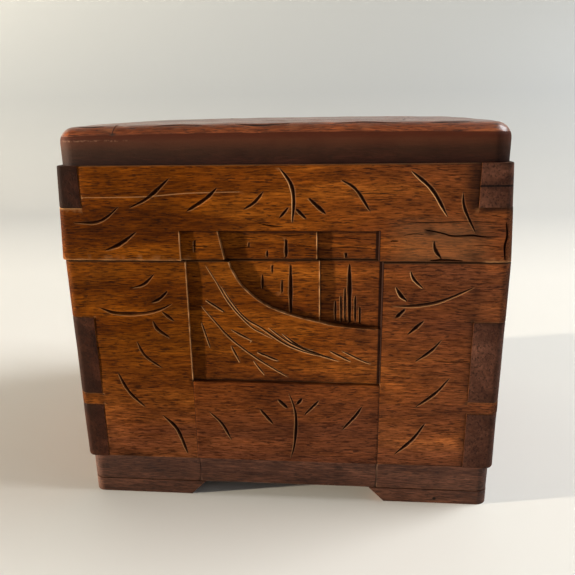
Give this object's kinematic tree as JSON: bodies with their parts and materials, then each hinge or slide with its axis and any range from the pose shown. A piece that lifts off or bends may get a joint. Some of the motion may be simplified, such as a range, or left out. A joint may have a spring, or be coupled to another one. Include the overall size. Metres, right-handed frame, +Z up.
{
  "type": "jewelry box",
  "caption": "Hand-carved wooden jewelry box with finger-jointed corners, a hinged lid with a thick rounded top, a sunk carved front panel, a hidden drawer below it and low bracket feet.",
  "frame": {"origin": "on the floor plane under the feet, in the middle of the overall width and depth", "axes": "+X to the right seen from the front, -Y out of the carved front, +Z up"},
  "size_m": [0.151, 0.125, 0.137],
  "materials": {
    "carved_wood": "stained honey-brown hardwood under satin varnish, carved with gouge strokes",
    "dark_wood": "dark reddish-brown stained wood, satin varnish",
    "plinth_wood": "dull brown stained wood",
    "inner_wood": "plain unvarnished wood",
    "brass": "aged brass",
    "steel": "dull wire",
    "felt": "dark red felt"
  },
  "bodies": {
    "case": {"front_board": "carved_wood", "back_board": "carved_wood", "left_board": "carved_wood", "right_board": "carved_wood", "compartment_floor": "inner_wood", "drawer_guide_left": "inner_wood", "drawer_guide_right": "inner_wood", "drawer_stop": "inner_wood", "plinth_front_left": "plinth_wood", "plinth_front_right": "plinth_wood", "plinth_back": "plinth_wood", "plinth_left": "plinth_wood", "plinth_right": "plinth_wood", "bottom_board": "inner_wood", "foot_front_left": "plinth_wood", "foot_front_right": "plinth_wood", "foot_rear_left": "plinth_wood", "foot_rear_right": "plinth_wood", "foot_brads": "steel", "hinge_leaf_body_left": "brass", "hinge_leaf_body_right": "brass", "hinge_pin_left": "brass", "hinge_pin_right": "brass", "body_hinge_screws": "brass", "floor_felt": "felt"},
    "lid": {"lid_front_board": "carved_wood", "lid_back_board": "carved_wood", "lid_left_board": "carved_wood", "lid_right_board": "carved_wood", "lid_top_board": "dark_wood", "lid_felt": "felt", "hinge_leaf_lid_left": "brass", "hinge_leaf_lid_right": "brass", "lid_hinge_screws": "brass"},
    "drawer": {"drawer_front": "carved_wood", "drawer_plinth_strip": "plinth_wood", "drawer_left_side": "inner_wood", "drawer_right_side": "inner_wood", "drawer_back": "inner_wood", "drawer_bottom": "inner_wood", "drawer_felt": "felt"}
  },
  "joints": [
    {"name": "lid_hinge", "type": "hinge", "parent": "case", "child": "lid", "pos_m": [0, 0.0602, 0.09205], "axis": [-1, 0, 0], "range_deg": [0, 95]},
    {"name": "drawer_slide", "type": "slide", "parent": "case", "child": "drawer", "axis": [0, -1, 0], "range_m": [0, 0.07]}
  ]
}
